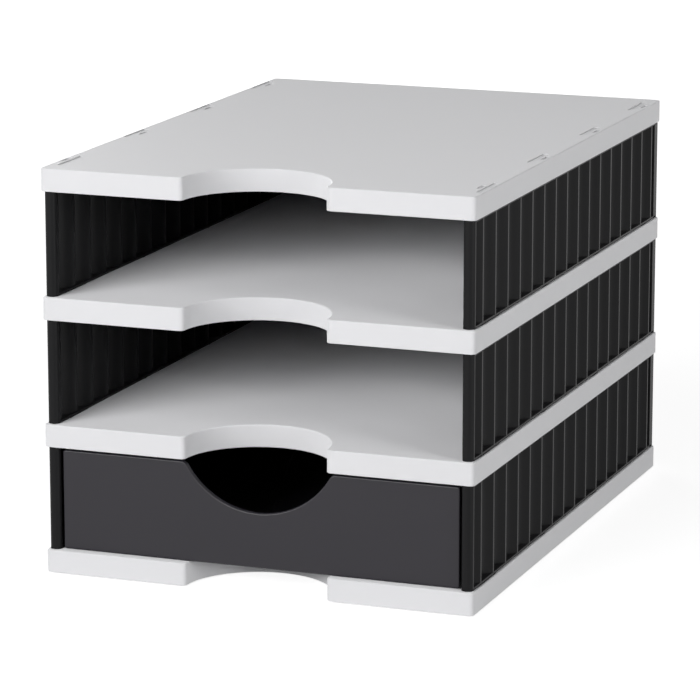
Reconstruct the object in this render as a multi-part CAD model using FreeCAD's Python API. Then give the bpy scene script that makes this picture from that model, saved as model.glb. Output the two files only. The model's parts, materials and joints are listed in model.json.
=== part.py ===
import FreeCAD, Part
import math
import os
from FreeCAD import Vector

# Letter tray stack: four moulded panels, fluted side walls between them,
# two open compartments and one drawer in the lowest level.
# Millimetres, +Z up, front towards -Y, origin at the bottom centre.

# Overall sizes
width = 252.0
depth = 350.0
panel_height = 13.0
clear_height = 59.0
level_names = ("lower", "middle", "upper")
panel_names = ("base_panel", "lower_shelf", "upper_shelf", "top_panel")

# Clearances, the overrun of every cut, and how alike two lengths must be to count as one
fit = 0.3
snug_fit = 0.15
overrun = 5.0
same_length = 0.01
parallel_share = 0.999999

# Panel moulding
plate_thickness = 2.4
skirt_thickness = 2.2
corner_radius = 3.0
edge_bevel = 0.8
finger_radius = 41.4
finger_set_back = 1.9
finger_mouth_radius = 3.0
rib_thickness = 1.2
rib_inset = 0.8
rib_column_spacing = 36.0
rib_row_spacing = 86.0

# Keyed slots and pockets in each panel
slot_count = 4
slot_first = 13.4
slot_last_inset = 14.1
slot_length = 30.0
slot_leg_width = 3.2
slot_leg_offset = 1.75
notch_start = 11.0
notch_length = 10.4
pocket_width = 6.8
sleeve_thickness = 1.4

# Side wall moulding
wall_thickness = 6.6
wall_side_inset = 1.4
wall_front_inset = 1.8
wall_rear_inset = 1.2
rail_height = 1.4
sheet_thickness = 1.5
flute_depth = 4.0
flank_run = 6.2
ridge_width = 2.8
ridge_spacing = 21.3
first_ridge_gap = 12.0
last_ridge_gap = 6.0
front_post_depth = 3.6
front_post_radius = 2.0
rear_post_depth = 6.4
groove_depth = 2.6
lug_height = 2.2
tenon_height = 4.5
tenon_inset = 3.0

# Rear wall moulding
rear_wall_thickness = 2.2
rear_rib_depth = 1.6
rear_rib_width = 1.4
rear_rib_spacing = 42.6

# Drawer moulding
drawer_recess = 4.5
drawer_side_gap = 1.4
drawer_top_gap = 2.0
drawer_rear_gap = 1.0
drawer_travel = 250.0
front_thickness = 2.8
front_corner_radius = 1.5
front_edge_bevel = 0.8
cut_radius = 49.0
cut_depth = 25.7
cut_mouth_radius = 4.5
tray_step = 1.2
tray_wall = 1.8
tray_floor = 1.8
tray_drop = 5.0
tray_corner_radius = 6.0
runner_height = 0.4
runner_width = 3.0
runner_inset = 22.0
stop_length = 8.0
stop_crest_length = 2.0
stop_height = 10.0
stop_reach = 0.7
floor_rib_width = 2.0
floor_rib_height = 0.8
floor_rib_front = 7.0
floor_rib_rear = 100.0

# Rubber feet under the base panel
foot_half_width = 7.0
foot_corner_cut = 2.5
foot_stand = 1.0
foot_recess = 1.5
foot_rim = 1.5
foot_side_inset = 24.0
foot_end_inset = 24.0
foot_edge_bevel = 0.4

# Places that follow from the sizes above
level_pitch = panel_height + clear_height
front_y = -depth / 2
rear_y = depth / 2
wall_x = width / 2 - wall_side_inset - wall_thickness / 2
wall_front_y = front_y + wall_front_inset
wall_rear_y = rear_y - wall_rear_inset
post_rear_y = wall_front_y + front_post_depth
rear_post_front_y = wall_rear_y - rear_post_depth
rear_wall_y = wall_rear_y - rear_post_depth / 2
bay_half_width = wall_x - wall_thickness / 2
along = Vector(0, 1, 0)
upright = Vector(0, 0, 1)


def block(x0, x1, y0, y1, z0, z1):
    """Box between two corners."""
    return Part.makeBox(x1 - x0, y1 - y0, z1 - z0, Vector(x0, y0, z0))


def prism(points, z0, z1):
    """Upright prism over a closed plan outline of (x, y) points."""
    corners = [Vector(x, y, z0) for x, y in points]
    outline = Part.makePolygon(corners + [corners[0]])
    return Part.Face(outline).extrude(Vector(0, 0, z1 - z0))


def edges_along(shape, axis):
    """Straight edges of a shape that run along one axis."""
    found = []
    for edge in shape.Edges:
        if len(edge.Vertexes) == 2 and isinstance(edge.Curve, Part.Line):
            if abs(edge.Curve.Direction.dot(axis)) > parallel_share:
                found.append(edge)
    return found


def near(value, target):
    """Whether two lengths are one and the same."""
    return abs(value - target) < same_length


def panel_bottom(level):
    return foot_stand + level * level_pitch


def panel_top(level):
    return panel_bottom(level) + panel_height


def slot_starts():
    """Front ends of the keyed slots, spread evenly from front to back."""
    first = front_y + slot_first
    last = rear_y - slot_last_inset - slot_length
    step = (last - first) / (slot_count - 1)
    return [first + index * step for index in range(slot_count)]


def slot_turns():
    """The front slot faces the other way, so that a wall fits only one way round."""
    return [1] + [-1] * (slot_count - 1)


# Panels

def panel_outline_solid(inset, z0, z1):
    """Plate with the half-round finger cut-out, drawn in by an inset, its outer corners round."""
    half = width / 2 - inset
    solid = block(-half, half, front_y + inset, rear_y - inset, z0, z1)
    if inset < corner_radius / 2:
        solid = solid.makeFillet(corner_radius - inset, edges_along(solid, upright))
    centre = Vector(0, front_y + finger_set_back, z0 - overrun)
    finger = Part.makeCylinder(finger_radius + inset, z1 - z0 + 2 * overrun, centre)
    return solid.cut(finger)


def round_finger_mouth(solid):
    """Rounds the two upright corners where the finger cut-out meets the front."""
    mouth = [edge for edge in edges_along(solid, upright)
             if near(edge.CenterOfMass.y, front_y) and abs(edge.CenterOfMass.x) < width / 4]
    return solid.makeFillet(finger_mouth_radius, mouth)


def bevel_top(solid, z1):
    """Bevels the whole upper edge of a panel."""
    rim = [edge for edge in solid.Edges
           if near(edge.BoundBox.ZMin, z1) and near(edge.BoundBox.ZMax, z1)]
    return solid.makeChamfer(edge_bevel, rim)


def panel_ribs(z0, z1):
    """Crossed stiffening ribs that hang under the plate."""
    ribs = []
    half = width / 2 - skirt_thickness
    columns = round(2 * half / rib_column_spacing)
    for index in range(1, columns):
        x = -half + index * 2 * half / columns
        ribs.append(block(x - rib_thickness / 2, x + rib_thickness / 2, front_y, rear_y, z0, z1))
    reach = depth / 2 - skirt_thickness
    rows = round(2 * reach / rib_row_spacing)
    for index in range(1, rows):
        y = -reach + index * 2 * reach / rows
        ribs.append(block(-half, half, y - rib_thickness / 2, y + rib_thickness / 2, z0, z1))
    return ribs


def pocket(side, start, z0, z1, wall):
    """Space of one wall pocket, or of its sleeve when a wall is added round it."""
    half = pocket_width / 2 + wall
    return block(side * wall_x - half, side * wall_x + half,
                 start - wall, start + slot_length + wall, z0, z1)


def keyed_slot(side, start, turn, z0, z1):
    """Narrow leg with a wider notch beside it, cut through the plate."""
    leg_x = side * wall_x + turn * slot_leg_offset
    leg = block(leg_x - slot_leg_width / 2, leg_x + slot_leg_width / 2, start, start + slot_length, z0, z1)
    notch_edge = side * wall_x - turn * pocket_width / 2
    x0, x1 = sorted((notch_edge, leg_x))
    notch = block(x0, x1, start + notch_start, start + notch_start + notch_length, z0, z1)
    return leg.fuse(notch)


def foot_places():
    """Centres of the four rubber feet, named by where they stand."""
    x = width / 2 - foot_side_inset
    y = depth / 2 - foot_end_inset
    return {"foot_front_left": (-x, -y), "foot_front_right": (x, -y),
            "foot_rear_left": (-x, y), "foot_rear_right": (x, y)}


def cut_square(x, y, half, z0, z1):
    """Upright square block with its four upright corners cut off."""
    inner = half - foot_corner_cut
    return prism([(x - inner, y - half), (x + inner, y - half), (x + half, y - inner), (x + half, y + inner),
                  (x + inner, y + half), (x - inner, y + half), (x - half, y + inner), (x - half, y - inner)],
                 z0, z1)


def make_panel(level):
    """Hollow panel: plate, skirt, ribs, sleeved pockets and keyed slots."""
    z0 = panel_bottom(level)
    z1 = panel_top(level)
    underside = z1 - plate_thickness
    shell = round_finger_mouth(panel_outline_solid(0, z0, z1))
    shell = bevel_top(shell, z1)
    starts = list(zip(slot_starts(), slot_turns()))
    kept = panel_ribs(z0 + rib_inset, z1)
    for side in (-1, 1):
        for start, turn in starts:
            kept.append(pocket(side, start, z0 - overrun, z1, sleeve_thickness))
    if level == 0:
        for x, y in foot_places().values():
            kept.append(cut_square(x, y, foot_half_width + foot_rim, z0, z1))
    hollow = panel_outline_solid(skirt_thickness, z0 - overrun, underside).cut(kept)
    cuts = [hollow]
    for side in (-1, 1):
        for start, turn in starts:
            cuts.append(pocket(side, start, z0 - overrun, underside, 0))
            cuts.append(keyed_slot(side, start, turn, underside - overrun, z1 + overrun))
    if level == 0:
        for x, y in foot_places().values():
            cuts.append(cut_square(x, y, foot_half_width + snug_fit, z0 - overrun, z0 + foot_recess))
    return shell.cut(cuts)


# Side walls

def flute_outline(side):
    """Closed plan outline of the folded sheet between the front and rear posts."""
    outer_crest = wall_thickness / 2
    outer_valley = outer_crest - flute_depth
    skew = sheet_thickness * math.tan(math.atan2(flute_depth, flank_run) / 2)
    first = post_rear_y + first_ridge_gap
    last = rear_post_front_y - last_ridge_gap
    ridges = round((last - first) / ridge_spacing)
    half = ridge_width / 2
    outer = [(outer_valley, post_rear_y - fit)]
    inner = [(outer_valley - sheet_thickness, post_rear_y - fit)]
    for index in range(ridges + 1):
        y = first + index * (last - first) / ridges
        foot = min(half + flank_run, last_ridge_gap)
        rear_foot = foot if index == ridges else half + flank_run
        outer += [(outer_valley, y - half - flank_run), (outer_crest, y - half),
                  (outer_crest, y + half), (outer_valley, y + rear_foot)]
        inner += [(outer_valley - sheet_thickness, y - half - flank_run + skew),
                  (outer_crest - sheet_thickness, y - half + skew),
                  (outer_crest - sheet_thickness, y + half - skew),
                  (outer_valley - sheet_thickness, y + rear_foot - skew)]
    outer.append((outer_valley, rear_post_front_y + fit))
    inner.append((outer_valley - sheet_thickness, rear_post_front_y + fit))
    return [(side * (wall_x + u), y) for u, y in outer + inner[::-1]]


def front_post(side, z0, z1):
    """Upright front post with a rounded nose."""
    half = wall_thickness / 2
    post = block(side * wall_x - half, side * wall_x + half, wall_front_y, post_rear_y, z0, z1)
    nose = [edge for edge in edges_along(post, upright) if near(edge.CenterOfMass.y, wall_front_y)]
    return post.makeFillet(front_post_radius, nose)


def rear_post(side, z0, z1):
    """Upright rear post."""
    half = wall_thickness / 2
    return block(side * wall_x - half, side * wall_x + half, rear_post_front_y, wall_rear_y, z0, z1)


def rear_groove(side, z0, z1):
    """Groove in the rear post's inner face that holds the rear wall's edge."""
    half = rear_wall_thickness / 2 + snug_fit
    x0, x1 = sorted((side * (bay_half_width - overrun), side * (bay_half_width + groove_depth)))
    return block(x0, x1, rear_wall_y - half, rear_wall_y + half, z0 - overrun, z1 + overrun)


def hook_foot(side, start, turn, z0):
    """Tongue in the slot's leg with a lug that has slid under the plate."""
    leg_x = side * wall_x + turn * slot_leg_offset
    tongue_half = slot_leg_width / 2 - fit
    end = start + slot_length - fit
    tongue_length = slot_length - notch_length - 2 * fit
    lug_length = tongue_length - notch_start
    lug_top = z0 - plate_thickness - fit
    lug_bottom = lug_top - lug_height
    tongue = block(leg_x - tongue_half, leg_x + tongue_half, end - tongue_length, end, lug_bottom, z0)
    lug_edge = side * wall_x - turn * (pocket_width / 2 - fit)
    x0, x1 = sorted((leg_x, lug_edge))
    lug = block(x0, x1, end - lug_length, end, lug_bottom, lug_top)
    return tongue.fuse(lug)


def top_tenon(side, start, z1):
    """Block on the top rail that enters the pocket under the next panel."""
    half = pocket_width / 2 - fit
    return block(side * wall_x - half, side * wall_x + half,
                 start + tenon_inset, start + slot_length - tenon_inset, z1, z1 + tenon_height)


def make_side_wall(level, side):
    """Fluted side wall with rails, posts, hook feet and tenons."""
    z0 = panel_top(level)
    z1 = panel_bottom(level + 1)
    half = wall_thickness / 2
    rail_start = wall_front_y + front_post_radius
    wall = prism(flute_outline(side), z0, z1)
    pieces = [front_post(side, z0, z1), rear_post(side, z0, z1)]
    for low in (z0, z1 - rail_height):
        pieces.append(block(side * wall_x - half, side * wall_x + half,
                            rail_start, rear_post_front_y + fit, low, low + rail_height))
    for start, turn in zip(slot_starts(), slot_turns()):
        pieces.append(hook_foot(side, start, turn, z0))
        pieces.append(top_tenon(side, start, z1))
    return wall.fuse(pieces).cut(rear_groove(side, z0, z1)).removeSplitter()


# Rear walls

def make_rear_wall(level):
    """Plain wall held in the side walls' grooves, ribbed on its outer side."""
    z0 = panel_top(level)
    z1 = panel_bottom(level + 1) - fit
    half = bay_half_width + groove_depth - fit
    front = rear_wall_y - rear_wall_thickness / 2
    back = rear_wall_y + rear_wall_thickness / 2
    wall = block(-half, half, front, back, z0, z1)
    rib_half = bay_half_width - fit
    ribs = []
    for low in (z0, z1 - rail_height):
        ribs.append(block(-rib_half, rib_half, back - fit, back + rear_rib_depth, low, low + rail_height))
    count = round(2 * rib_half / rear_rib_spacing)
    for index in range(count + 1):
        x = -rib_half + rear_rib_width / 2 + index * (2 * rib_half - rear_rib_width) / count
        ribs.append(block(x - rear_rib_width / 2, x + rear_rib_width / 2,
                          back - fit, back + rear_rib_depth, z0, z1))
    return wall.fuse(ribs).removeSplitter()


# Drawer

def drawer_front(half, y0, z0, z1):
    """Front plate with rounded corners, an arched finger cut-out and a bevelled front edge."""
    plate = block(-half, half, y0, y0 + front_thickness, z0, z1)
    plate = plate.makeFillet(front_corner_radius, edges_along(plate, along))
    centre = Vector(0, y0 - overrun, z1 - cut_depth + cut_radius)
    plate = plate.cut(Part.makeCylinder(cut_radius, front_thickness + 2 * overrun, centre, along))
    mouth = [edge for edge in edges_along(plate, along)
             if near(edge.CenterOfMass.z, z1) and abs(edge.CenterOfMass.x) < cut_radius]
    plate = plate.makeFillet(cut_mouth_radius, mouth)
    rim = [edge for edge in plate.Edges
           if near(edge.BoundBox.YMin, y0) and near(edge.BoundBox.YMax, y0)]
    return plate.makeChamfer(front_edge_bevel, rim)


def tray_shell(half, y0, y1, z0, z1):
    """Open box behind the front, with rounded rear corners."""
    def rounded(inset, low, high):
        solid = block(-half + inset, half - inset, y0, y1 - inset, low, high)
        rear = [edge for edge in edges_along(solid, upright) if near(edge.CenterOfMass.y, y1 - inset)]
        return solid.makeFillet(tray_corner_radius - inset, rear)
    return rounded(0, z0, z1).cut(rounded(tray_wall, z0 + tray_floor, z1 + overrun))


def stop_lug(side, half, z0, z1):
    """Lug on the tray's side that meets the front post when the drawer is fully out."""
    front = post_rear_y + fit + drawer_travel
    root = side * (half - tray_wall / 2)
    tip = side * (bay_half_width + stop_reach)
    middle = (z0 + z1) / 2
    outline = [(root, front), (tip, front), (tip, front + stop_crest_length), (root, front + stop_length)]
    return prism(outline, middle - stop_height / 2, middle + stop_height / 2)


def floor_rib(side, y0, y1, z0):
    """Low rib that runs slantwise over the tray's floor, out towards one rear corner."""
    half = floor_rib_width / 2
    outline = [(side * (floor_rib_front - half), y0), (side * (floor_rib_front + half), y0),
               (side * (floor_rib_rear + half), y1), (side * (floor_rib_rear - half), y1)]
    return prism(outline, z0 - fit, z0 + floor_rib_height)


def make_drawer():
    """One-piece drawer with its front, tray, floor ribs, runner ribs and stop lugs."""
    z0 = panel_top(0) + fit
    z1 = panel_bottom(1) - drawer_top_gap
    half = bay_half_width - drawer_side_gap
    y0 = front_y + drawer_recess
    y1 = rear_wall_y - rear_wall_thickness / 2 - drawer_rear_gap
    tray_half = half - tray_step
    tray_z0 = z0 + runner_height
    tray_z1 = z1 - tray_drop
    tray = tray_shell(tray_half, y0 + front_thickness, y1, tray_z0, tray_z1)
    pieces = [drawer_front(half, y0, z0, z1)]
    for side in (-1, 1):
        x = side * (tray_half - runner_inset)
        pieces.append(block(x - runner_width / 2, x + runner_width / 2,
                            y0 + front_thickness, y1 - tray_corner_radius, z0, tray_z0))
        pieces.append(stop_lug(side, tray_half, tray_z0, tray_z1))
        pieces.append(floor_rib(side, y0 + front_thickness, y1 - tray_wall, tray_z0 + tray_floor))
    return tray.fuse(pieces).removeSplitter()


# Feet

def make_foot(x, y):
    """Square rubber pad seated in a boss of the base panel."""
    pad = cut_square(x, y, foot_half_width, 0, foot_stand + foot_recess)
    rim = [edge for edge in pad.Edges if near(edge.BoundBox.ZMax, 0)]
    return pad.makeChamfer(foot_edge_bevel, rim)


def save(name, shape):
    """Writes one sub-part and prints what it holds."""
    if not shape.isValid() or len(shape.Solids) != 1:
        raise ValueError(name + " is not one valid solid")
    solid = shape.Solids[0]
    solid.exportStep("parts/" + name + ".step")
    print("%-20s faces %4d  volume %9.0f" % (name, len(solid.Faces), solid.Volume))


os.makedirs("parts", exist_ok=True)
for level, name in enumerate(panel_names):
    save(name, make_panel(level))
for level, name in enumerate(level_names):
    save("left_wall_" + name, make_side_wall(level, -1))
    save("right_wall_" + name, make_side_wall(level, 1))
    save("rear_wall_" + name, make_rear_wall(level))
save("drawer", make_drawer())
for name, place in foot_places().items():
    save(name, make_foot(*place))
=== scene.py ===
# %% [markdown]
# A letter tray stack is four moulded panels held apart by fluted side walls.
# Two levels are open compartments and the lowest one holds a drawer.
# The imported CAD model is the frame: every piece below takes its place from the
# nodes, stands where they stand, and is in metres, with +Z up and the front
# towards -Y. The CAD box is kept, to compare with the finished model.

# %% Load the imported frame
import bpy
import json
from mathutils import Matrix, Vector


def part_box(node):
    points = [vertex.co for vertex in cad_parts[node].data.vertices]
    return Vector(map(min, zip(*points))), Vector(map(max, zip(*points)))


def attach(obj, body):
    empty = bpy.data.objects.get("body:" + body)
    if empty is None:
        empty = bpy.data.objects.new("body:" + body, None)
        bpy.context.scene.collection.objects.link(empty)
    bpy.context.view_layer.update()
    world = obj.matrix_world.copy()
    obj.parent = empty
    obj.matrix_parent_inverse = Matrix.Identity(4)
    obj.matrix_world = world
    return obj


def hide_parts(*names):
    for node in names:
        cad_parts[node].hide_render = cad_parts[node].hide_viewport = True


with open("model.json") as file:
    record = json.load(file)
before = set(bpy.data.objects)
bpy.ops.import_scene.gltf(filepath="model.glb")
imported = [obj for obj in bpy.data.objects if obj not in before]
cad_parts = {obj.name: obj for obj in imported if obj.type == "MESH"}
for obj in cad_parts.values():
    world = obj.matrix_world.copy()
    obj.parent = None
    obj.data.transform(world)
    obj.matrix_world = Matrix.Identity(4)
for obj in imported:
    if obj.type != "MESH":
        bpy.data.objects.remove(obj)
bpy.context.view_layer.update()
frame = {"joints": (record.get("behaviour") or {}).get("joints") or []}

# %% Libraries and units
import json
import math

import bmesh
import bpy
from mathutils import Vector

MM = 0.001
scene = bpy.context.scene
print("Blender", bpy.app.version_string, "and", MM, "m to a millimetre")

# %% [markdown]
# The panels repeat at one pitch, so their boxes give nearly everything:
# the footprint, the height of each panel, and the clear height of each level.
# Only the small moulded features need sizes of their own. Most of them are the
# CAD model's. A few follow the photo more closely, such as the thinner sheet
# and its narrower ridges, and they stay within the boxes of their nodes.

# %% Main places, from the frame
PANELS = ("base_panel", "lower_shelf", "upper_shelf", "top_panel")
LEVELS = ("lower", "middle", "upper")
panel_boxes = [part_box(name) for name in PANELS]
half_width = panel_boxes[0][1].x
front_y = panel_boxes[0][0].y
rear_y = panel_boxes[0][1].y
level_zones = [(below[1].z, above[0].z) for below, above in zip(panel_boxes, panel_boxes[1:])]
travel = frame["joints"][0]["range_m"][1]
print("footprint", round(2 * half_width, 4), "by", round(rear_y - front_y, 4))
print("clear heights", [round(high - low, 4) for low, high in level_zones])
print("the drawer slides", travel)

# %% [markdown]
# Everything solid here is made in one of three ways. A skin drawn through
# rings of points gives the plates with their rounded rims. Small blocks that
# repeat are scattered by one node tree. A second tree makes the fluted sheet.
# The helpers below build meshes and node trees from plain lists.

# %% Mesh helpers
def arc(centre, radius, start, end, steps):
    """Points on a circle from one angle to another, in degrees."""
    points = []
    for step in range(steps + 1):
        angle = math.radians(start + (end - start) * step / steps)
        points.append((centre[0] + radius * math.cos(angle), centre[1] + radius * math.sin(angle)))
    return points


def mesh_from(name, build):
    """Mesh that a building function fills, with its faces turned outwards."""
    work = bmesh.new()
    build(work)
    bmesh.ops.recalc_face_normals(work, faces=work.faces)
    mesh = bpy.data.meshes.new(name)
    work.to_mesh(mesh)
    work.free()
    return mesh


def add_skin(work, rings, closed=True):
    """Skin through rings of equally many points; both end rings get a flat cap."""
    loops = [[work.verts.new(point) for point in ring] for ring in rings]
    count = len(loops[0])
    for lower, upper in zip(loops, loops[1:]):
        for here in range(count if closed else count - 1):
            after = (here + 1) % count
            work.faces.new((lower[here], lower[after], upper[after], upper[here]))
    work.faces.new(loops[0])
    work.faces.new(loops[-1])
    if not closed:
        work.faces.new([loop[0] for loop in loops] + [loop[-1] for loop in reversed(loops)])


def add_block(work, low, high, bevel):
    """Block between two corners, with its edges rounded."""
    made = bmesh.ops.create_cube(work, size=1.0)["verts"]
    for vert in made:
        vert.co = Vector(b if c > 0 else a for a, b, c in zip(low, high, vert.co))
    edges = {edge for vert in made for edge in vert.link_edges}
    bmesh.ops.bevel(work, geom=list(edges), offset=bevel, segments=3, profile=0.5, affect="EDGES")


def add_prism(work, outline, low, high):
    """Upright prism over a closed plan outline."""
    add_skin(work, [[(x, y, low) for x, y in outline], [(x, y, high) for x, y in outline]])


def new_piece(name, mesh):
    """Object with a mesh, at the origin of the scene."""
    piece = bpy.data.objects.new(name, mesh)
    scene.collection.objects.link(piece)
    return piece


def bake(piece):
    """Replaces a piece's mesh with what its modifiers make, and drops them."""
    graph = bpy.context.evaluated_depsgraph_get()
    mesh = bpy.data.meshes.new_from_object(piece.evaluated_get(graph), depsgraph=graph)
    piece.modifiers.clear()
    piece.data = mesh
    mesh.name = piece.name
    return piece


# %% [markdown]
# Moulded edges are never quite sharp. A narrow bevel catches the light, and
# normals weighted by face area keep the large flat faces flat beside it. A
# piece whose edges are already round gets a width of zero, and only the shading.

# %% Finish for edges
def soften(piece, width, angle):
    """Rounds the edges sharper than an angle in degrees, and evens the shading."""
    if width:
        bevel = piece.modifiers.new("edge", "BEVEL")
        bevel.width = width
        bevel.segments = 2
        bevel.limit_method = "ANGLE"
        bevel.angle_limit = math.radians(angle)
        bevel.use_clamp_overlap = False
    for face in piece.data.polygons:
        face.use_smooth = True
    piece.data.set_sharp_from_angle(angle=math.radians(angle))
    weigh = piece.modifiers.new("shade", "WEIGHTED_NORMAL")
    weigh.keep_sharp = True
    return bake(piece)


# %% [markdown]
# A node tree is a small program. The helpers add a node, set its options and
# fill or link its inputs, so that each tree below reads as one short recipe.

# %% Node helpers
def fill(tree, node, inputs):
    """Links each named input to a socket, or sets it to a plain value."""
    for key, source in inputs.items():
        if isinstance(source, bpy.types.NodeSocket):
            tree.links.new(source, node.inputs[key])
        else:
            node.inputs[key].default_value = source
    return node


def add_node(tree, kind, inputs=(), **options):
    """Adds a node, sets its options, then fills its inputs."""
    node = tree.nodes.new(kind)
    for option, value in options.items():
        setattr(node, option, value)
    return fill(tree, node, dict(inputs))


def reckon(tree, operation, first, second=0.0):
    """One step of arithmetic inside a tree."""
    return add_node(tree, "ShaderNodeMath", {0: first, 1: second}, operation=operation).outputs[0]


# %% [markdown]
# A geometry tree has named inputs for its sizes and its plastic. The last steps
# are always the same: copies of a shape are made real, because the export drops
# mere copies, and the plastic is set.

# %% Helpers for geometry trees
SOCKETS = {float: "NodeSocketFloat", int: "NodeSocketInt", tuple: "NodeSocketVector",
           bpy.types.Object: "NodeSocketObject", bpy.types.Material: "NodeSocketMaterial"}


def new_tree(name, sizes):
    """Geometry tree with a named input for each size; gives the tree, its inputs and its end."""
    tree = bpy.data.node_groups.new(name, "GeometryNodeTree")
    tree.interface.new_socket("Geometry", in_out="INPUT", socket_type="NodeSocketGeometry")
    tree.interface.new_socket("Geometry", in_out="OUTPUT", socket_type="NodeSocketGeometry")
    for label, kind in sizes:
        tree.interface.new_socket(label, in_out="INPUT", socket_type=SOCKETS[kind])
    start = add_node(tree, "NodeGroupInput").outputs
    end = add_node(tree, "NodeGroupOutput").inputs[0]
    return tree, start, end


def join(tree, parts):
    """Puts several parts together."""
    whole = add_node(tree, "GeometryNodeJoinGeometry")
    for part in parts:
        tree.links.new(part, whole.inputs[0])
    return whole.outputs[0]


def subtract(tree, body, cutters):
    """Takes several cutters away from a body with one exact cut."""
    cut = add_node(tree, "GeometryNodeMeshBoolean", {"Mesh 1": body, "Self Intersection": True},
                   operation="DIFFERENCE", solver="EXACT")
    for cutter in cutters:
        tree.links.new(cutter, cut.inputs["Mesh 2"])
    return cut.outputs["Mesh"]


def end_tree(tree, start, end, body):
    """Last steps of a tree: makes copies real, sets the plastic and links the result."""
    solid = add_node(tree, "GeometryNodeRealizeInstances", {"Geometry": body})
    painted = add_node(tree, "GeometryNodeSetMaterial",
                       {"Geometry": solid.outputs[0], "Material": start["Plastic"]})
    tree.links.new(painted.outputs[0], end)
    return tree


def grow(piece, tree, values):
    """Runs a tree on a piece with the given values, and keeps the result as a plain mesh."""
    modifier = piece.modifiers.new(tree.name, "NODES")
    modifier.node_group = tree
    for item in tree.interface.items_tree:
        if item.in_out == "INPUT" and item.name in values:
            modifier[item.identifier] = values[item.name]
    return bake(piece)


# %% [markdown]
# Plastic from a mould has an even colour, but never a dead one. The mould wall
# is etched, which leaves a fine grain, and cooling leaves broad, faint clouds
# in the gloss. A photo of a surface could give both, but noise costs no file
# and has no seams. Both patterns read object coordinates, so they stay on the
# piece in every view.

# %% Moulded plastic
CLOUD_SCALE = 14.0
CLOUD_DETAIL = 3.0
GRAIN_DETAIL = 2.0
GRAIN_STRENGTH = 0.5
GLOSS_SPREAD = 0.06
SCATTER = 0.6


def mix_colours(tree, factor, low, high):
    """Blend of two colours; a colour mix has them in its seventh and eighth inputs."""
    mix = add_node(tree, "ShaderNodeMix", {0: factor, 6: [*low, 1.0], 7: [*high, 1.0]},
                   data_type="RGBA")
    return mix.outputs[2]


def moulded_plastic(name, colour, roughness, shine, grain_size, grain_depth, clouding):
    """Opaque plastic with a fine grain and slight clouds in tone and gloss."""
    material = bpy.data.materials.new(name)
    material.use_nodes = True
    tree = material.node_tree
    place = add_node(tree, "ShaderNodeTexCoord").outputs["Object"]
    cloud = add_node(tree, "ShaderNodeTexNoise",
                     {"Vector": place, "Scale": CLOUD_SCALE, "Detail": CLOUD_DETAIL}).outputs["Fac"]
    tone = mix_colours(tree, cloud, [value * (1 - clouding) for value in colour],
                       [value * (1 + clouding) for value in colour])
    gloss = add_node(tree, "ShaderNodeMapRange", {
        "Value": cloud, "To Min": roughness * (1 - GLOSS_SPREAD),
        "To Max": roughness * (1 + GLOSS_SPREAD)})
    grain = add_node(tree, "ShaderNodeTexNoise",
                     {"Vector": place, "Scale": 1 / grain_size, "Detail": GRAIN_DETAIL})
    bump = add_node(tree, "ShaderNodeBump", {
        "Height": grain.outputs["Fac"], "Distance": grain_depth, "Strength": GRAIN_STRENGTH})
    fill(tree, tree.nodes["Principled BSDF"], {
        "Base Color": tone, "Roughness": gloss.outputs["Result"], "Normal": bump.outputs["Normal"],
        "Specular IOR Level": shine, "Diffuse Roughness": SCATTER})
    return material


# %% [markdown]
# One recipe serves four finishes. The panels are a light, satin grey. The walls
# are black and nearly matt, because a glossier black would mirror the white
# room. The drawer is a charcoal with a little more shine, which draws the thin
# light line along its arch. The pads are dull rubber.

# %% Four finishes
panel_grey = moulded_plastic("panel_grey", (0.795, 0.795, 0.81), roughness=0.5, shine=0.12,
                             grain_size=0.5 * MM, grain_depth=0.02 * MM, clouding=0.012)
wall_black = moulded_plastic("wall_black", (0.0095, 0.0095, 0.0102), roughness=0.42, shine=0.11,
                             grain_size=0.6 * MM, grain_depth=0.02 * MM, clouding=0.05)
drawer_charcoal = moulded_plastic("drawer_charcoal", (0.0205, 0.0187, 0.0243), roughness=0.34,
                                  shine=0.35, grain_size=0.5 * MM, grain_depth=0.02 * MM,
                                  clouding=0.03)
foot_rubber = moulded_plastic("foot_rubber", (0.03, 0.03, 0.03), roughness=0.8, shine=0.2,
                              grain_size=0.4 * MM, grain_depth=0.04 * MM, clouding=0.1)
print("finishes:", [material.name for material in (panel_grey, wall_black, drawer_charcoal, foot_rubber)])

# %% [markdown]
# Ribs, pockets, slots, tenons and hooks are all small blocks on a grid, so one
# tree makes every one of them. It counts through columns and rows, places a
# point for each, and puts a block on the point. The slots face one way in the
# front row and the other way behind it, so a row can also be shifted sideways,
# with the sign changed after the first row.

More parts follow.
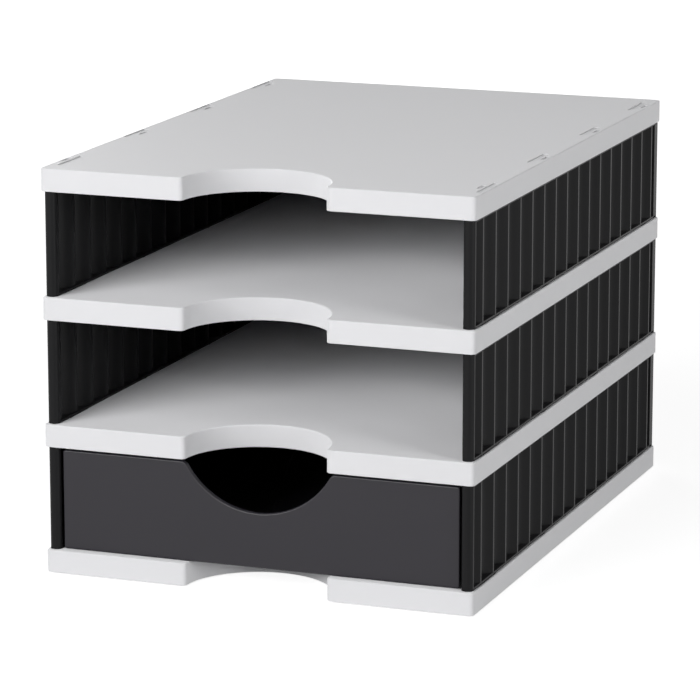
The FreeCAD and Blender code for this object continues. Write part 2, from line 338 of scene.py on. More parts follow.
# %% Tree: blocks on a grid
def make_block_grid():
    """Tree that puts a block at each point of a grid, counted along X and then along Y."""
    tree, start, end = new_tree("Blocks on a grid", [
        ("Columns", int), ("Rows", int), ("First", tuple), ("Column step", float),
        ("Row step", float), ("Block size", tuple), ("Turned shift", float)])
    count = reckon(tree, "MULTIPLY", start["Columns"], start["Rows"])
    index = add_node(tree, "GeometryNodeInputIndex").outputs[0]
    column = reckon(tree, "FLOORED_MODULO", index, start["Columns"])
    row = reckon(tree, "FLOOR", reckon(tree, "DIVIDE", reckon(tree, "ADD", index, 0.5), start["Columns"]))
    is_first = reckon(tree, "LESS_THAN", row, 0.5)
    turn = reckon(tree, "SUBTRACT", reckon(tree, "MULTIPLY", is_first, 2.0), 1.0)
    shift = reckon(tree, "MULTIPLY", turn, start["Turned shift"])
    along_x = reckon(tree, "ADD", reckon(tree, "MULTIPLY", column, start["Column step"]), shift)
    along_y = reckon(tree, "MULTIPLY", row, start["Row step"])
    offset = add_node(tree, "ShaderNodeCombineXYZ", {"X": along_x, "Y": along_y}).outputs[0]
    place = add_node(tree, "ShaderNodeVectorMath", {0: offset, 1: start["First"]}, operation="ADD")
    points = add_node(tree, "GeometryNodePoints", {"Count": count, "Position": place.outputs[0]})
    block = add_node(tree, "GeometryNodeMeshCube", {"Size": start["Block size"]})
    blocks = add_node(tree, "GeometryNodeInstanceOnPoints",
                      {"Points": points.outputs[0], "Instance": block.outputs["Mesh"]})
    solid = add_node(tree, "GeometryNodeRealizeInstances", {"Geometry": blocks.outputs[0]})
    tree.links.new(solid.outputs[0], end)
    return tree


block_grid = make_block_grid()
print("tree:", block_grid.name, "with", len(block_grid.nodes), "nodes")


def grid_blocks(tree, columns, rows, low, high, column_step=0.0, row_step=0.0, turned_shift=0.0):
    """Adds the grid tree as one node; low and high are the first block's corners."""
    return add_node(tree, "GeometryNodeGroup", {
        "Columns": columns, "Rows": rows, "Column step": column_step, "Row step": row_step,
        "First": [(a + b) / 2 for a, b in zip(low, high)],
        "Block size": [b - a for a, b in zip(low, high)],
        "Turned shift": turned_shift}, node_tree=block_grid).outputs[0]


# %% [markdown]
# The camera stands where the photographer stood: far off, to the right of the
# front, and a little above the top panel, with a long lens. It looks down by
# about a seventh of a right angle, so upright edges stay nearly upright.

# %% Camera
CAMERA_PLACE = (0.7590, -2.0516, 0.5927)
CAMERA_TILT = 77.336
CAMERA_TURN = 20.5486
LENS = 197.4
SENSOR = 36.0
FAR_LIMIT = 20.0
camera = bpy.data.objects.new("camera", bpy.data.cameras.new("camera"))
scene.collection.objects.link(camera)
camera.location = CAMERA_PLACE
camera.rotation_euler = (math.radians(CAMERA_TILT), 0.0, math.radians(CAMERA_TURN))
camera.data.lens = LENS
camera.data.sensor_width = SENSOR
camera.data.clip_end = FAR_LIMIT
scene.camera = camera
print("camera looks down by", round(90.0 - CAMERA_TILT, 1), "degrees")

# %% [markdown]
# Each panel is a shallow moulding: a thin plate with a skirt round it, a
# half-round finger cut-out in its front, and a soft rim. One outline serves
# every height of it. Drawn in by an inset, its outer corners get tighter and
# the finger arc gets wider, just as they do on the rounded rim of the real
# panel. The drawer's front has the same kind of outline, stood upright.

# %% Outline with a round notch
ARC_STEPS = 6
NOTCH_STEPS = 40


def notched_outline(half, low, high, corner, notch, inset):
    """Closed (u, v) outline of a plate whose high edge has a round notch with rounded mouth."""
    notch_radius, notch_centre, mouth = notch
    drop = high - mouth - notch_centre
    reach = math.sqrt((notch_radius + mouth) ** 2 - drop ** 2)
    lean = math.degrees(math.atan2(drop, reach))
    tight = corner - inset
    left, right = corner - half, half - corner
    points = arc((left, low + corner), tight, 180, 270, ARC_STEPS)
    points += arc((right, low + corner), tight, 270, 360, ARC_STEPS)
    points += arc((right, high - corner), tight, 0, 90, ARC_STEPS)
    points += arc((reach, high - mouth), mouth - inset, 90, 180 + lean, ARC_STEPS)
    points += arc((0.0, notch_centre), notch_radius + inset, lean, -180 - lean, NOTCH_STEPS)[1:-1]
    points += arc((-reach, high - mouth), mouth - inset, -lean, 90, ARC_STEPS)
    points += arc((left, high - corner), tight, 90, 180, ARC_STEPS)
    return points


def rounding(centre_inset, centre_level, radius, start, end, steps=5):
    """(inset, level) pairs on a quarter circle; 0 degrees points outwards and 90 upwards."""
    return [(centre_inset - x, centre_level + y)
            for x, y in arc((0.0, 0.0), radius, start, end, steps)]


# %% [markdown]
# A panel's plate is stiffened by a grid of ribs, which end a little above the
# skirt's lower edge. The feet of the base panel sit in bosses near its corners.
# A cutter runs on past the surface that it opens, because a cut whose end lies
# in the plane of that surface can go either way.

# %% Panel sizes
CORNER = 3.0 * MM
RIM = 0.8 * MM
UNDER_RIM = 0.5 * MM
SKIRT = 2.2 * MM
PLATE = 2.4 * MM
FINGER_RADIUS = 41.4 * MM
FINGER_SET_BACK = 1.9 * MM
FINGER_MOUTH = 3.0 * MM
RIB = 1.2 * MM
RIB_LIFT = 0.8 * MM
RIBS_ALONG = 6
RIBS_ACROSS = 3
OVERRUN = 5.0 * MM
FOOT_HALF = 7.0 * MM
FOOT_SET_IN = 24.0 * MM
BOSS_WALL = 1.5 * MM
SEAT_PLAY = 0.15 * MM
SEAT_DEPTH = 1.5 * MM
finger_notch = (FINGER_RADIUS, -front_y - FINGER_SET_BACK, FINGER_MOUTH)
feet_x = half_width - FOOT_SET_IN
feet_y = rear_y - FOOT_SET_IN
print("feet stand", round(feet_x / MM, 1), "and", round(feet_y / MM, 1), "mm from the middle")

# %% [markdown]
# Each side wall stands on four keyed slots: a long slit for the foot, and beside
# it a short key that lets the foot's lug through. Under each slot is a pocket
# for the tenon of the wall below, with a sleeve round it. The top panel's slots
# are not in use, and a thin web closes them just under the surface. The photo
# shows those pale floors, and a low ridge between the slit and its key.

# %% Slot and pocket sizes
WALL_SET_IN = 4.7 * MM
SLOT_FROM_FRONT = 13.4 * MM
SLOT_FROM_REAR = 14.1 * MM
SLOT_LENGTH = 30.0 * MM
SLOT_ROWS = 4
SLEEVE = 1.4 * MM
LEDGE = 4.4 * MM
POCKET_HALF = 3.4 * MM
LEG_HALF = 1.6 * MM
LEG_SHIFT = 1.75 * MM
NOTCH_START = 11.0 * MM
NOTCH_LENGTH = 10.4 * MM
NOTCH_HALF = (POCKET_HALF + LEG_SHIFT) / 2
NOTCH_SHIFT = (LEG_SHIFT - POCKET_HALF) / 2
WEB_DEPTH = 0.5 * MM
KEY_HALF = 1.175 * MM
KEY_SHIFT = KEY_HALF - POCKET_HALF
wall_centre = half_width - WALL_SET_IN
slot_start = front_y + SLOT_FROM_FRONT
slot_step = (rear_y - SLOT_FROM_REAR - SLOT_LENGTH - slot_start) / (SLOT_ROWS - 1)
print("a slot every", round(slot_step / MM, 1), "mm")


def slot_blocks(tree, columns, x, half, span, low, high, shift=0.0):
    """A block at each slot of one wall centred at x, or of both where there are two columns."""
    return grid_blocks(tree, columns, SLOT_ROWS, (x - half, span[0], low), (x + half, span[1], high),
                       2 * wall_centre, slot_step, shift)


# %% [markdown]
# A panel starts as a solid block with a soft rim. Its tree then takes away the
# hollow under the plate, but leaves the ribs, the sleeves of the wall pockets
# and, on the base panel, the bosses of the feet. Last it cuts the pockets and
# the keyed slots. Cutting real holes, and not painting them, lets the light
# fall into the slots as it does on the moulding. The plate is thicker round a
# slot, where a hook foot pulls on it.

# %% Tree: what is moulded under a panel
def make_panel_tree(bottom, top, with_feet, with_webs):
    """Hollows a panel's block: ribs, sleeves and bosses stay, pockets and slots are cut."""
    tree, start, end = new_tree("Moulded panel", [
        ("Hollow", bpy.types.Object), ("Plastic", bpy.types.Material)])
    half = half_width - SKIRT
    reach = -front_y - SKIRT
    column_step = 2 * half / (RIBS_ALONG + 1)
    row_step = 2 * reach / (RIBS_ACROSS + 1)
    first_x = -half + column_step
    first_y = -reach + row_step
    rib_low = bottom + RIB_LIFT
    below, above = bottom - OVERRUN, top + OVERRUN
    ledge = top - LEDGE
    slot_low = ledge - OVERRUN
    key_half, key_shift = NOTCH_HALF, NOTCH_SHIFT
    if with_webs:
        slot_low = top - WEB_DEPTH
        key_half, key_shift = KEY_HALF, KEY_SHIFT
    slot = (slot_start, slot_start + SLOT_LENGTH)
    key = (slot_start + NOTCH_START, slot_start + NOTCH_START + NOTCH_LENGTH)
    around = (slot_start - SLEEVE, slot_start + SLOT_LENGTH + SLEEVE)
    kept = [
        grid_blocks(tree, RIBS_ALONG, 1, (first_x - RIB / 2, front_y, rib_low),
                    (first_x + RIB / 2, rear_y, top), column_step=column_step),
        grid_blocks(tree, 1, RIBS_ACROSS, (-half, first_y - RIB / 2, rib_low),
                    (half, first_y + RIB / 2, top), row_step=row_step),
        slot_blocks(tree, 2, -wall_centre, POCKET_HALF + SLEEVE, around, below, top)]
    cut = [
        slot_blocks(tree, 2, -wall_centre, POCKET_HALF, slot, below, ledge),
        slot_blocks(tree, 2, -wall_centre, LEG_HALF, slot, slot_low, above, LEG_SHIFT),
        slot_blocks(tree, 2, -wall_centre, key_half, key, slot_low, above, key_shift)]
    if with_feet:
        for blocks, margin, low, high in ((kept, BOSS_WALL, bottom, top),
                                          (cut, SEAT_PLAY, below, bottom + SEAT_DEPTH)):
            side = FOOT_HALF + margin
            blocks.append(grid_blocks(tree, 2, 2, (-feet_x - side, -feet_y - side, low),
                                      (-feet_x + side, -feet_y + side, high), 2 * feet_x, 2 * feet_y))
    hollow = add_node(tree, "GeometryNodeObjectInfo", {"Object": start["Hollow"]})
    room = subtract(tree, hollow.outputs["Geometry"], kept)
    return end_tree(tree, start, end, subtract(tree, start["Geometry"], [room] + cut))


# %% Four panels
def panel_mesh(name, profile):
    """Closed mesh through a panel's plan outline at each (inset, level) pair."""
    rings = []
    for inset, level in profile:
        outline = notched_outline(half_width, front_y, -front_y, CORNER, finger_notch, inset)
        rings.append([(x, -v, level) for x, v in outline])
    return mesh_from(name, lambda work: add_skin(work, rings))


def make_panel(name, low, high):
    """One panel: a block with rounded rims, hollowed by its tree."""
    bottom, top = low.z, high.z
    profile = rounding(UNDER_RIM, bottom + UNDER_RIM, UNDER_RIM, -90, 0, 3)
    profile += rounding(RIM, top - RIM, RIM, 0, 90)
    block = panel_mesh(name, profile)
    hollow = new_piece("hollow", panel_mesh("hollow", [(SKIRT, bottom - OVERRUN), (SKIRT, top - PLATE)]))
    piece = new_piece(name + "_moulding", block)
    tree = make_panel_tree(bottom, top, name == "base_panel", name == "top_panel")
    grow(piece, tree, {"Hollow": hollow, "Plastic": panel_grey})
    bpy.data.objects.remove(hollow)
    return soften(piece, width=0.2 * MM, angle=50.0)


for name, (low, high) in zip(PANELS, panel_boxes):
    piece = make_panel(name, low, high)
    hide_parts(name)
    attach(piece, "housing")
    print(piece.name, len(piece.data.polygons), "faces")

# %% [markdown]
# A side wall is a thin sheet drawn into flutes, which makes it stiff. Its path
# in plan is a row of shallow round bays between narrow flat crests. The tree
# places its points by counting: the remainder of the count tells how far along
# a bay a point lies, from 0 to 1, and a parabola gives its depth there. The
# path then carries an upright strip as thick as the sheet.

# %% Tree: fluted sheet
def make_flute_tree():
    """Tree that adds the fluted sheet to a side wall's posts and rails."""
    tree, start, end = new_tree("Fluted sheet", [
        ("Crests", int), ("First crest", float), ("Crest spacing", float), ("Crest half width", float),
        ("Points in a bay", int), ("Front end", float), ("Rear end", float), ("Crest offset", float),
        ("Bay depth", float), ("Side", float), ("Sheet thickness", float), ("Low", float),
        ("Height", float), ("Plastic", bpy.types.Material)])
    bay_points = start["Points in a bay"]
    spacing = start["Crest spacing"]
    crest_half = start["Crest half width"]
    bays = reckon(tree, "ADD", start["Crests"], 1.0)
    line = add_node(tree, "GeometryNodeMeshLine", {"Count": reckon(tree, "MULTIPLY", bays, bay_points)})
    index = add_node(tree, "GeometryNodeInputIndex").outputs[0]
    bay = reckon(tree, "FLOOR", reckon(tree, "DIVIDE", reckon(tree, "ADD", index, 0.5), bay_points))
    step = reckon(tree, "FLOORED_MODULO", index, bay_points)
    along = reckon(tree, "DIVIDE", step, reckon(tree, "SUBTRACT", bay_points, 1.0))
    run = reckon(tree, "MULTIPLY", reckon(tree, "SUBTRACT", bay, 1.0), spacing)
    bay_start = reckon(tree, "ADD", reckon(tree, "ADD", start["First crest"], run), crest_half)
    bay_width = reckon(tree, "SUBTRACT", spacing, reckon(tree, "MULTIPLY", crest_half, 2.0))
    y = reckon(tree, "ADD", bay_start, reckon(tree, "MULTIPLY", along, bay_width))
    y = reckon(tree, "MAXIMUM", reckon(tree, "MINIMUM", y, start["Rear end"]), start["Front end"])
    centred = reckon(tree, "SUBTRACT", reckon(tree, "MULTIPLY", along, 2.0), 1.0)
    curve = reckon(tree, "SUBTRACT", 1.0, reckon(tree, "MULTIPLY", centred, centred))
    depth = reckon(tree, "MULTIPLY", curve, start["Bay depth"])
    x = reckon(tree, "MULTIPLY", reckon(tree, "SUBTRACT", start["Crest offset"], depth), start["Side"])
    middle = reckon(tree, "ADD", start["Low"], reckon(tree, "DIVIDE", start["Height"], 2.0))
    place = add_node(tree, "ShaderNodeCombineXYZ", {"X": x, "Y": y, "Z": middle}).outputs[0]
    wave = add_node(tree, "GeometryNodeSetPosition", {"Geometry": line.outputs[0], "Position": place})
    path = add_node(tree, "GeometryNodeMeshToCurve", {"Mesh": wave.outputs[0]})
    level = add_node(tree, "GeometryNodeSetCurveNormal", {"Curve": path.outputs[0]}, mode="Z_UP")
    strip = add_node(tree, "GeometryNodeCurvePrimitiveQuadrilateral",
                     {"Width": start["Sheet thickness"], "Height": start["Height"]})
    sheet = add_node(tree, "GeometryNodeCurveToMesh",
                     {"Curve": level.outputs[0], "Profile Curve": strip.outputs[0], "Fill Caps": True})
    return end_tree(tree, start, end, join(tree, [sheet.outputs[0], start["Geometry"]]))


flute_tree = make_flute_tree()
print("tree:", flute_tree.name, "with", len(flute_tree.nodes), "nodes")

# %% [markdown]
# The wall's frame is a round post in front, a square one behind, and a thin
# rail along the top and the bottom. The crests stand at about one pitch, which
# is trimmed so that they end evenly. A sheet of some thickness looks wider on
# its crests than its middle line, so the line's crests are made narrower.

# %% Side wall sizes
WALL_HALF = 3.3 * MM
WALL_FROM_FRONT = 1.8 * MM
WALL_FROM_REAR = 1.2 * MM
POST_DEPTH = 3.6 * MM
POST_NOSE = 2.8 * MM
NOSE_STEPS = 20
REAR_POST = 6.4 * MM
RAIL = 1.4 * MM
RAIL_EDGE = 0.25 * MM
GROOVE_DEPTH = 2.6 * MM
GROOVE_PLAY = 0.15 * MM
REAR_WALL = 2.2 * MM
OVERLAP = 0.3 * MM
wall_front = front_y + WALL_FROM_FRONT
wall_rear = rear_y - WALL_FROM_REAR
rear_wall_y = wall_rear - REAR_POST / 2
bay_half = wall_centre - WALL_HALF
print("clear width between the walls:", round(2 * bay_half / MM, 1), "mm")

# %% Flute sizes
SHEET = 1.1 * MM
FLUTE_DEPTH = 4.6 * MM
BAY_POINTS = 14
CREST_HALF = 0.95 * MM
CREST_PITCH = 21.3 * MM
FIRST_BAY = 12.0 * MM
LAST_BAY = 6.0 * MM
first_crest = wall_front + POST_DEPTH + FIRST_BAY
last_crest = wall_rear - REAR_POST - LAST_BAY
crests = round((last_crest - first_crest) / CREST_PITCH) + 1
crest_spacing = (last_crest - first_crest) / (crests - 1)
steepest = math.atan2(4 * FLUTE_DEPTH, crest_spacing - 2 * CREST_HALF)
skew = SHEET / 2 * math.tan(steepest / 2)
print("crests a side:", crests, "spacing", round(crest_spacing / MM, 2), "mm")

# %% [markdown]
# Tenons on the top rail enter the pockets of the panel above. Hook feet go
# through the slots of the panel below, and their lugs catch under its plate.
# They sit on the same grid as the slots, so the grid tree makes them too.

# %% Tree: hook feet and tenons
FIT = 0.3 * MM
ROOT = 2 * FIT
TENON_HEIGHT = 4.5 * MM
TENON_INSET = 3.0 * MM
LUG_HEIGHT = 2.2 * MM


def make_hook_tree(side, bottom, top):
    """Tree that adds a side wall's tenons and hook feet to its frame and sheet."""
    tree, start, end = new_tree("Hook feet and tenons", [("Plastic", bpy.types.Material)])
    x = side * wall_centre
    foot_end = slot_start + SLOT_LENGTH - FIT
    tongue_start = foot_end - (SLOT_LENGTH - NOTCH_LENGTH - 2 * FIT)
    lug_top = bottom - LEDGE - FIT
    lug_low = lug_top - LUG_HEIGHT
    tenon = (slot_start + TENON_INSET, slot_start + SLOT_LENGTH - TENON_INSET)
    tongue = (tongue_start, foot_end)
    lug = (tongue_start + NOTCH_START, foot_end)
    return end_tree(tree, start, end, join(tree, [
        start["Geometry"],
        slot_blocks(tree, 1, x, POCKET_HALF - FIT, tenon, top - ROOT, top + TENON_HEIGHT),
        slot_blocks(tree, 1, x, LEG_HALF - FIT, tongue, lug_low, bottom + ROOT, LEG_SHIFT),
        slot_blocks(tree, 1, x, NOTCH_HALF - FIT / 2, lug, lug_low, lug_top, NOTCH_SHIFT + FIT / 2)]))


# %% [markdown]
# The posts and rails that frame the sheet are blocks. The front post has a
# rounded nose, and the rear post a groove that holds the rear wall.

# %% Side walls
def front_post_plan(side):
    """Plan of the front post: round towards the front, square behind."""
    nose = arc((0.0, 0.0), 1.0, 0, -180, NOSE_STEPS)
    outline = [(x * WALL_HALF, wall_front + POST_NOSE * (1 + y)) for x, y in nose]
    outline += [(-WALL_HALF, wall_front + POST_DEPTH), (WALL_HALF, wall_front + POST_DEPTH)]
    return [(side * wall_centre + x, y) for x, y in outline]


def rear_post_plan(side):
    """Plan of the rear post, with the groove for the rear wall in its inner face."""
    groove = REAR_WALL / 2 + GROOVE_PLAY
    front = wall_rear - REAR_POST
    outline = [(WALL_HALF, front), (WALL_HALF, wall_rear), (-WALL_HALF, wall_rear),
               (-WALL_HALF, rear_wall_y + groove), (GROOVE_DEPTH - WALL_HALF, rear_wall_y + groove),
               (GROOVE_DEPTH - WALL_HALF, rear_wall_y - groove), (-WALL_HALF, rear_wall_y - groove),
               (-WALL_HALF, front)]
    return [(side * (wall_centre + x), y) for x, y in outline]


def make_side_wall(name, side, bottom, top):
    """Posts and rails in one mesh, then the sheet, the feet and the tenons from their trees."""
    x0, x1 = side * wall_centre - WALL_HALF, side * wall_centre + WALL_HALF

    def frame_parts(work):
        add_prism(work, front_post_plan(side), bottom, top)
        add_prism(work, rear_post_plan(side), bottom, top)
        for low in (bottom, top - RAIL):
            add_block(work, (x0, wall_front + POST_NOSE, low),
                      (x1, wall_rear - REAR_POST / 4, low + RAIL), RAIL_EDGE)
    piece = new_piece(name + "_moulding", mesh_from(name, frame_parts))
    grow(piece, flute_tree, {
        "Crests": crests, "First crest": first_crest, "Crest spacing": crest_spacing,
        "Crest half width": CREST_HALF - skew, "Points in a bay": BAY_POINTS,
        "Front end": wall_front + POST_DEPTH / 2, "Rear end": wall_rear - REAR_POST + OVERLAP,
        "Crest offset": wall_centre + WALL_HALF - SHEET / 2, "Bay depth": FLUTE_DEPTH,
        "Side": float(side), "Sheet thickness": SHEET, "Low": bottom, "Height": top - bottom,
        "Plastic": wall_black})
    grow(piece, make_hook_tree(side, bottom, top), {"Plastic": wall_black})
    return soften(piece, width=0.15 * MM, angle=33.0)


for level, (bottom, top) in zip(LEVELS, level_zones):
    for side_name, side in (("left", -1), ("right", 1)):
        node = side_name + "_wall_" + level
        piece = make_side_wall(node, side, bottom, top)
        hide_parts(node)
        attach(piece, "housing")
        print(piece.name, len(piece.data.polygons), "faces")

# %% [markdown]
# The rear wall of each level stands in the grooves of the rear posts. It is
# plain inside and ribbed outside, so its ribs come from the grid tree. Its
# plate and rails are bevelled blocks, which is all that such a flat part needs.

# %% Rear walls
REAR_RIB_HEIGHT = 1.6 * MM
REAR_RIB_WIDTH = 1.4 * MM
REAR_RIB_PITCH = 42.6 * MM
PLATE_EDGE = 0.2 * MM
rear_face = rear_wall_y + REAR_WALL / 2


def make_rear_tree(bottom, top):
    """Tree that adds the outer ribs of a rear wall to its plate."""
    tree, start, end = new_tree("Ribbed rear wall", [("Plastic", bpy.types.Material)])
    rib_half = bay_half - FIT
    gaps = round(2 * rib_half / REAR_RIB_PITCH)
    step = (2 * rib_half - REAR_RIB_WIDTH) / gaps
    ribs = grid_blocks(tree, gaps + 1, 1, (-rib_half, rear_face - OVERLAP, bottom),
                       (-rib_half + REAR_RIB_WIDTH, rear_face + REAR_RIB_HEIGHT, top), column_step=step)
    return end_tree(tree, start, end, join(tree, [ribs, start["Geometry"]]))


def make_rear_wall(name, bottom, top):
    """Plate and two rails in one mesh, then the ribs from their tree."""
    half = bay_half + GROOVE_DEPTH - FIT

    def plate_parts(work):
        add_block(work, (-half, rear_wall_y - REAR_WALL / 2, bottom), (half, rear_face, top), PLATE_EDGE)
        for low in (bottom, top - RAIL):
            add_block(work, (FIT - bay_half, rear_face - OVERLAP, low),
                      (bay_half - FIT, rear_face + REAR_RIB_HEIGHT, low + RAIL), PLATE_EDGE)
    piece = new_piece(name + "_moulding", mesh_from(name, plate_parts))
    grow(piece, make_rear_tree(bottom, top), {"Plastic": wall_black})
    return soften(piece, width=0.0, angle=35.0)


for level, zone in zip(LEVELS, level_zones):
    node = "rear_wall_" + level
    bottom, top = zone[0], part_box(node)[1].z
    piece = make_rear_wall(node, bottom, top)
    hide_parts(node)
    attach(piece, "housing")
    print(piece.name, len(piece.data.polygons), "faces")

# %% [markdown]
# The drawer is one moulding. Its front is a plate with a deep arched finger
# cut-out, and its tray is an open box whose rear corners are round. Two blocks
# could be cut to that shape, but a skin gives the round rim at once.

# %% Drawer front
FRONT_THICKNESS = 2.8 * MM
FRONT_RIM = 0.8 * MM
FRONT_CORNER = 1.5 * MM
FRONT_PLAY = 1.4 * MM
CUT_RADIUS = 49.0 * MM
CUT_DEPTH = 25.7 * MM
CUT_MOUTH = 4.5 * MM
drawer_low, drawer_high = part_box("drawer")
plate_half = bay_half - FRONT_PLAY
plate_back = drawer_low.y + FRONT_THICKNESS
arch = (CUT_RADIUS, drawer_high.z - CUT_DEPTH + CUT_RADIUS, CUT_MOUTH)
print("drawer front", round(2 * plate_half / MM, 1), "mm wide")


def add_drawer_front(work):
    """Front plate with rounded corners, arched cut-out and soft front rim."""
    profile = [(0.0, plate_back)]
    for inset, depth in rounding(FRONT_RIM, FRONT_RIM, FRONT_RIM, 0, -90):
        profile.append((inset, drawer_low.y + depth))
    rings = []
    for inset, y in profile:
        outline = notched_outline(plate_half, drawer_low.z, drawer_high.z, FRONT_CORNER, arch, inset)
        rings.append([(u, y, v) for u, v in outline])
    add_skin(work, rings)


# %% [markdown]
# The tray's skin goes through open rings, from the underside, up and over the
# rim, and down to the floor. Where a ring is open, towards the front plate, the
# tray stays open above its floor, and there one looks through the cut-out. The
# skin starts inside the front plate, so the two grow together.

# %% Tray
TRAY_SET_IN = 1.2 * MM
TRAY_DROP = 5.0 * MM
TRAY_WALL = 1.8 * MM
TRAY_FLOOR = 1.8 * MM
TRAY_CORNER = 6.0 * MM
CORNER_STEPS = 8
TRAY_SOFT = 1.2 * MM
TRAY_RIM = 0.5 * MM
ROOT_SHARE = 0.6
RUNNER_HEIGHT = 0.4 * MM
tray_half = plate_half - TRAY_SET_IN
tray_front = drawer_low.y + FRONT_THICKNESS * ROOT_SHARE
tray_rear = drawer_high.y
tray_low = drawer_low.z + RUNNER_HEIGHT
tray_top = drawer_high.z - TRAY_DROP
floor_level = tray_low + TRAY_FLOOR
print("tray", round((tray_rear - tray_front) / MM, 1), "mm deep")


def tray_ring(inset, level):
    """Open ring round a tray: up one side, round the rear and back."""
    radius = TRAY_CORNER - inset
    corner_x, corner_y = tray_half - TRAY_CORNER, tray_rear - TRAY_CORNER
    points = [(inset - tray_half, tray_front)]
    points += arc((-corner_x, corner_y), radius, 180, 90, CORNER_STEPS)
    points += arc((corner_x, corner_y), radius, 90, 0, CORNER_STEPS)
    points += [(tray_half - inset, tray_front)]
    return [(x, y, level) for x, y in points]


def add_tray(work):
    """Open box with rounded bottom edges, rim and rear corners."""
    profile = rounding(TRAY_SOFT, tray_low + TRAY_SOFT, TRAY_SOFT, -90, 0)
    profile += rounding(TRAY_RIM, tray_top - TRAY_RIM, TRAY_RIM, 0, 90, 3)
    profile += rounding(TRAY_WALL - TRAY_RIM, tray_top - TRAY_RIM, TRAY_RIM, 90, 180, 3)
    profile += rounding(TRAY_WALL + TRAY_SOFT, floor_level + TRAY_SOFT, -TRAY_SOFT, 0, 90)
    add_skin(work, [tray_ring(inset, level) for inset, level in profile], closed=False)


# %% [markdown]
# Two low ribs run slantwise over the floor and lift the paper a little. Runners
# under the tray carry it on the base panel. A wedge on each side passes the
# front post once, when the drawer is put in, and then stops it at full travel.

# %% Ribs, runners and stops
FLOOR_RIB_HALF = 1.0 * MM
FLOOR_RIB_HEIGHT = 0.8 * MM
FLOOR_RIB_ROOT = 0.2 * MM
FLOOR_RIB_TOP = 0.6 * FLOOR_RIB_HALF
FLOOR_RIB_SHOULDER = 0.5 * FLOOR_RIB_HEIGHT
FLOOR_RIB_FRONT_X = 7.0 * MM
FLOOR_RIB_REAR_X = 100.0 * MM
RUNNER_SET_IN = 22.0 * MM
RUNNER_HALF = 1.5 * MM
RUNNER_EDGE = 0.3 * MM
STOP_REACH = 0.7 * MM
STOP_FLAT = 2.0 * MM
STOP_LENGTH = 8.0 * MM
STOP_HALF = 5.0 * MM
stop_front = wall_front + POST_DEPTH + FIT + travel
stop_level = (tray_low + tray_top) / 2
print("stops", round((stop_front - drawer_low.y) / MM, 1), "mm behind the drawer's front")


def add_floor_rib(work, side):
    """Low rib that runs slantwise over the floor towards one rear corner."""
    section = [(-FLOOR_RIB_HALF, -FLOOR_RIB_ROOT), (-FLOOR_RIB_HALF, FLOOR_RIB_SHOULDER),
               (-FLOOR_RIB_TOP, FLOOR_RIB_HEIGHT), (FLOOR_RIB_TOP, FLOOR_RIB_HEIGHT),
               (FLOOR_RIB_HALF, FLOOR_RIB_SHOULDER), (FLOOR_RIB_HALF, -FLOOR_RIB_ROOT)]
    rings = []
    for x, y in ((FLOOR_RIB_FRONT_X, plate_back), (FLOOR_RIB_REAR_X, tray_rear - TRAY_WALL)):
        rings.append([(side * (x + across), y, floor_level + up) for across, up in section])
    add_skin(work, rings)


def add_stop(work, side):
    """Wedge on the tray's side that meets the front post when the drawer is fully out."""
    root, tip = side * (tray_half - TRAY_WALL / 2), side * (bay_half + STOP_REACH)
    outline = [(root, stop_front), (tip, stop_front), (tip, stop_front + STOP_FLAT),
               (root, stop_front + STOP_LENGTH)]
    add_prism(work, outline, stop_level - STOP_HALF, stop_level + STOP_HALF)


def add_runner(work, side):
    """Low rail under the tray, from the front plate to the rear corner."""
    x = side * (tray_half - RUNNER_SET_IN)
    add_block(work, (x - RUNNER_HALF, plate_back, drawer_low.z),
              (x + RUNNER_HALF, tray_rear - TRAY_CORNER, tray_low + OVERLAP), RUNNER_EDGE)


# %% Drawer
def add_drawer(work):
    """The whole drawer moulding."""
    add_drawer_front(work)
    add_tray(work)
    for side in (-1, 1):
        add_floor_rib(work, side)
        add_stop(work, side)
        add_runner(work, side)


drawer = new_piece("drawer_moulding", mesh_from("drawer", add_drawer))
drawer.data.materials.append(drawer_charcoal)
soften(drawer, width=0.0, angle=35.0)
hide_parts("drawer")
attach(drawer, "drawer")
print(drawer.name, len(drawer.data.polygons), "faces")

# %% [markdown]
# Four rubber pads keep the stack from sliding. They are square with soft
# corners and sit in bosses of the base panel, so little of them shows, and a
# block with rounded edges is enough.

# %% Feet
PAD_EDGE = 0.5 * MM
for name in ("foot_front_left", "foot_front_right", "foot_rear_left", "foot_rear_right"):
    low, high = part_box(name)
    piece = new_piece(name + "_pad", mesh_from(name, lambda work: add_block(work, low, high, PAD_EDGE)))
    piece.data.materials.append(foot_rubber)
    soften(piece, width=0.0, angle=60.0)
    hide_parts(name)
    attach(piece, "housing")
print("feet stand", round(high.z / MM, 2), "mm high in all")

# %% [markdown]
# The floor is a wide pale sheet. To the camera and in reflections it gets light
# of its own, which makes it as white as the backdrop, a little less so near the
# object, where its shadow lies. Other rays don't see that light, so it doesn't
# brighten the object. The world below is white to the same rays.

# %% Floor
FLOOR_HALF = 6.0
PAPER = 0.6
NEAR_RADIUS = 0.4
FAR_RADIUS = 2.0
NEAR_GLOW = 0.84
FAR_GLOW = 1.0


def seen_rays(tree):
    """1 for rays from the camera or from a reflection, and 0 for all others."""
    rays = add_node(tree, "ShaderNodeLightPath").outputs
    gloss = reckon(tree, "MAXIMUM", rays["Is Glossy Ray"], rays["Is Transmission Ray"])
    return reckon(tree, "MAXIMUM", rays["Is Camera Ray"], gloss)


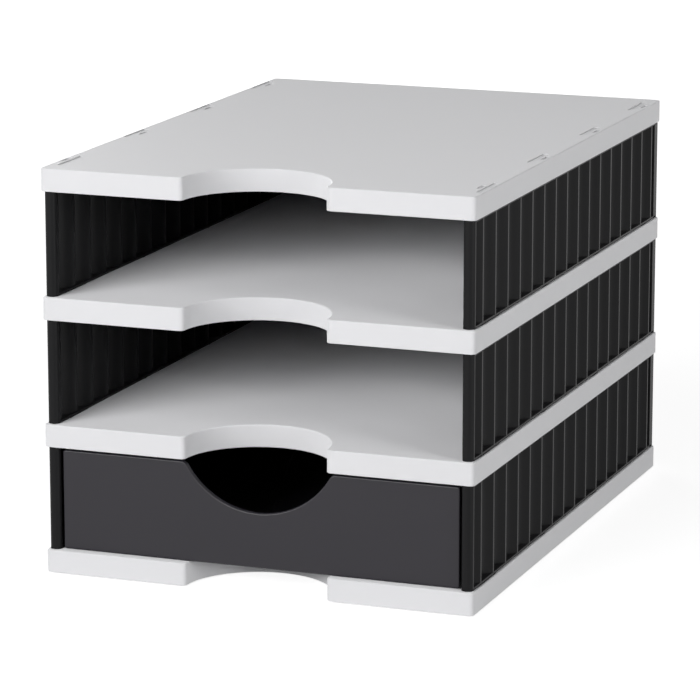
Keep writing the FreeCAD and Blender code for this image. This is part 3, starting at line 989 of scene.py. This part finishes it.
def pale_floor():
    """Diffuse sheet that looks white to the camera and in gloss, and still takes a shadow."""
    material = bpy.data.materials.new("pale_floor")
    material.use_nodes = True
    tree = material.node_tree
    tree.nodes.remove(tree.nodes["Principled BSDF"])
    place = add_node(tree, "ShaderNodeTexCoord").outputs["Object"]
    away = add_node(tree, "ShaderNodeVectorMath", {0: place}, operation="LENGTH").outputs["Value"]
    glow = add_node(tree, "ShaderNodeMapRange", {
        "Value": away, "From Min": NEAR_RADIUS, "From Max": FAR_RADIUS,
        "To Min": NEAR_GLOW, "To Max": FAR_GLOW}).outputs["Result"]
    paper = add_node(tree, "ShaderNodeBsdfDiffuse", {"Color": (PAPER, PAPER, PAPER, 1.0)})
    light = add_node(tree, "ShaderNodeEmission",
                     {"Strength": reckon(tree, "MULTIPLY", seen_rays(tree), glow)})
    both = add_node(tree, "ShaderNodeAddShader", {0: paper.outputs[0], 1: light.outputs[0]})
    fill(tree, tree.nodes["Material Output"], {"Surface": both.outputs[0]})
    return material


sheet = mesh_from("floor", lambda work: bmesh.ops.create_grid(
    work, x_segments=1, y_segments=1, size=FLOOR_HALF))
floor = new_piece("floor", sheet)
floor.data.materials.append(pale_floor())
print("floor", 2 * FLOOR_HALF, "m wide")

# %% [markdown]
# Soft light from five wide lamps, each placed by its angle from the front and
# its height. The key light stands in front at the left, low enough to reach
# deep into the compartments. A second one in front at the right lights the
# side, and a weak one stands high. Behind the object, one at the right gives
# the crests their shine, and one at the left lights the back and that side.

# %% Lamps
LAMP_DISTANCE = 2.5
LAMP_AIM = Vector((0.0, 0.0, 0.12))


def add_lamp(name, azimuth, elevation, size, power):
    """Area lamp that faces the object; azimuth runs from the front to the right, in degrees."""
    turn, rise = math.radians(azimuth), math.radians(elevation)
    towards = Vector((math.sin(turn) * math.cos(rise), -math.cos(turn) * math.cos(rise), math.sin(rise)))
    lamp = bpy.data.lights.new(name, "AREA")
    lamp.shape = "RECTANGLE"
    lamp.size, lamp.size_y = size
    lamp.energy = power
    holder = bpy.data.objects.new(name, lamp)
    scene.collection.objects.link(holder)
    holder.location = LAMP_AIM + LAMP_DISTANCE * towards
    holder.rotation_euler = (-towards).to_track_quat("-Z", "Y").to_euler()
    print(name, [round(value, 2) for value in holder.location], power, "W")


add_lamp("key_lamp", azimuth=-20.0, elevation=18.5, size=(1.8, 0.65), power=46.0)
add_lamp("side_lamp", azimuth=66.0, elevation=10.0, size=(1.0, 1.1), power=24.0)
add_lamp("high_lamp", azimuth=-40.0, elevation=45.0, size=(0.9, 0.4), power=3.0)
add_lamp("back_lamp", azimuth=150.0, elevation=4.0, size=(1.6, 0.6), power=6.0)
add_lamp("rear_lamp", azimuth=225.0, elevation=5.0, size=(1.4, 0.7), power=26.0)

# %% [markdown]
# The photo has a pure white backdrop. A world that lit the object as brightly
# would wash out its shadows, so it is white only to the camera and in
# reflections, and gives all other rays a faint even light.

# %% World
WORLD_LIGHT = 0.04
WORLD_WHITE = 1.0


def white_world():
    """Faint even light that looks pure white to the camera and in gloss."""
    world = bpy.data.worlds.new("studio")
    world.use_nodes = True
    tree = world.node_tree
    strength = add_node(tree, "ShaderNodeMapRange", {
        "Value": seen_rays(tree), "To Min": WORLD_LIGHT, "To Max": WORLD_WHITE})
    fill(tree, tree.nodes["Background"], {
        "Color": (1.0, 1.0, 1.0, 1.0), "Strength": strength.outputs["Result"]})
    scene.world = world


white_world()
scene.view_settings.view_transform = "Standard"
print("world:", scene.world.name)
